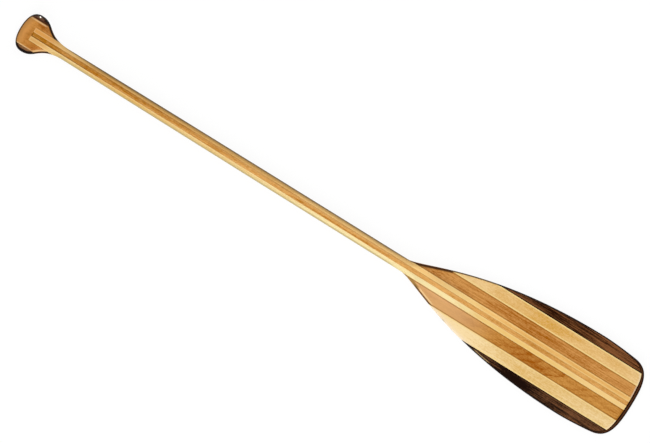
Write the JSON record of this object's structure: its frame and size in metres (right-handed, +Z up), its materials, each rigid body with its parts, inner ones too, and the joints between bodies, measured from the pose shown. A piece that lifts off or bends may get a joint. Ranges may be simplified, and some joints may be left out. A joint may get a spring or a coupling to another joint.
{
  "type": "canoe paddle",
  "caption": "Laminated wooden canoe paddle with a flared palm grip, a straight oval shaft and a square-ended blade with a dark tip guard.",
  "frame": {"origin": "half way along the paddle, under the middle of the shaft, at the lowest height of the paddle as it lies on its back", "axes": "+X from the grip towards the tip of the blade, +Y to the left across the blade, +Z up out of the blade's face"},
  "size_m": [1.422, 0.1806, 0.032],
  "materials": {
    "core_wood": "reddish tan wood under clear varnish",
    "light_wood": "pale straw wood under clear varnish",
    "brown_wood": "warm brown wood with a fine straight grain under clear varnish",
    "dark_wood": "dark brown heat-treated wood under clear varnish",
    "guard_resin": "hard, nearly black resin, varnished over"
  },
  "bodies": {
    "root": {"shaft_core": "core_wood", "shaft_strip_left": "light_wood", "shaft_strip_right": "light_wood", "blade_inner_strip_left": "brown_wood", "blade_inner_strip_right": "brown_wood", "blade_middle_strip_left": "light_wood", "blade_middle_strip_right": "light_wood", "blade_outer_strip_left": "dark_wood", "blade_outer_strip_right": "dark_wood", "blade_tip_guard": "guard_resin", "grip_block": "brown_wood", "grip_corner_left": "dark_wood", "grip_corner_right": "dark_wood"}
  },
  "joints": []
}
